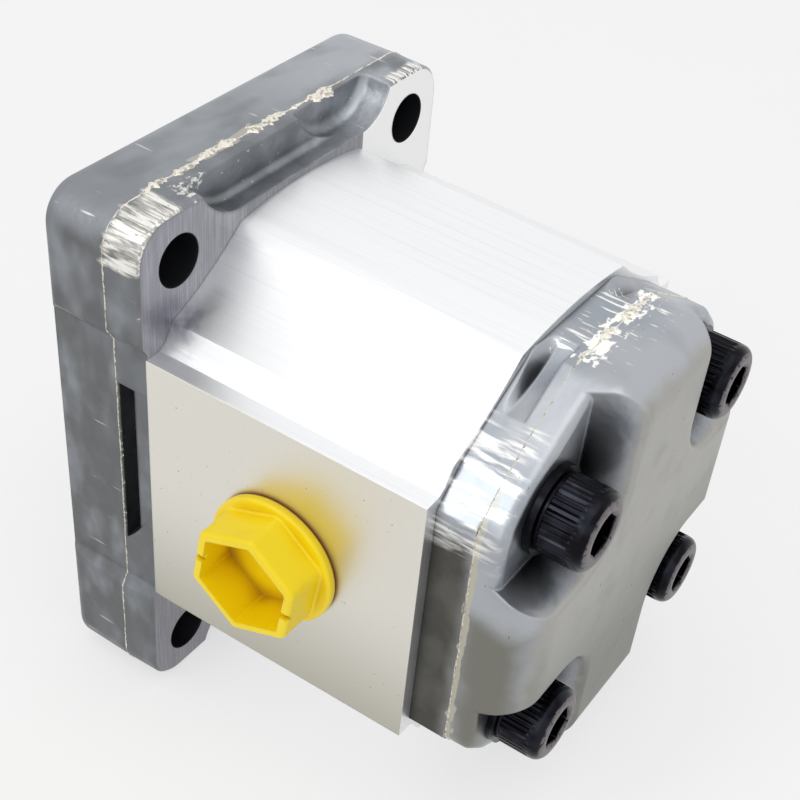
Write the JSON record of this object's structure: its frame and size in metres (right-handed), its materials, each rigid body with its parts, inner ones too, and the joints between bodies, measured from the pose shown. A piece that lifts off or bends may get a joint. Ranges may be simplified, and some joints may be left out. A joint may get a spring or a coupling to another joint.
{
  "type": "hydraulic gear pump",
  "caption": "External gear pump with a cast mounting flange, extruded body, cast rear cover, clamp screws, tapered drive shaft and a yellow port plug.",
  "frame": {"origin": "where the drive shaft's axis meets the flange's mounting face, the middle of the pilot", "axes": "+Y from the mounting face back to the rear cover, +Z from the drive gear up to the driven gear, +X towards the plugged port"},
  "size_m": [0.1024, 0.1486, 0.117],
  "materials": {
    "cast_flange": "die-cast, dull",
    "extruded_body": "extruded, satin",
    "cast_cover": "die-cast, smooth",
    "black_steel": "black oxide, oiled",
    "yellow_plastic": "moulded polyethylene",
    "gear_steel": "ground and hardened",
    "block_alloy": "machined",
    "bush_bronze": "plain bearing bronze",
    "seal_rubber": "nitrile rubber",
    "backup_plastic": "nylon",
    "lip_rubber": "moulded nitrile rubber",
    "spring_steel": "phosphated steel"
  },
  "bodies": {
    "housing": {"front_flange": "cast_flange", "gear_body": "extruded_body", "rear_cover": "cast_cover", "cap_screws": "black_steel", "washers": "black_steel", "front_bearing_block": "block_alloy", "rear_bearing_block": "block_alloy", "drive_front_bush": "bush_bronze", "drive_rear_bush": "bush_bronze", "driven_front_bush": "bush_bronze", "driven_rear_bush": "bush_bronze", "front_balance_seal": "seal_rubber", "rear_balance_seal": "seal_rubber", "front_backup_ring": "backup_plastic", "rear_backup_ring": "backup_plastic", "front_body_seal": "seal_rubber", "rear_body_seal": "seal_rubber", "front_dowels": "gear_steel", "rear_dowels": "gear_steel", "seal_case": "spring_steel", "seal_lip": "lip_rubber", "seal_spring": "spring_steel", "retaining_ring": "spring_steel"},
    "drive_shaft": {"drive_gear": "gear_steel", "shaft_key": "gear_steel"},
    "driven_shaft": {"driven_gear": "gear_steel"},
    "plug": {"port_plug": "yellow_plastic"}
  },
  "joints": [
    {"name": "drive_spin", "type": "hinge", "parent": "housing", "child": "drive_shaft", "pos_m": [0, 0, 0], "axis": [0, 1, 0], "continuous": true},
    {"name": "driven_spin", "type": "hinge", "parent": "housing", "child": "driven_shaft", "pos_m": [0, 0, 0.033], "axis": [0, 1, 0], "continuous": true},
    {"name": "plug_pull", "type": "slide", "parent": "housing", "child": "plug", "axis": [1, 0, 0], "range_m": [0, 0.03]}
  ],
  "couplings": [
    {"joint": "driven_spin", "follows": "drive_spin", "ratio": -1}
  ]
}
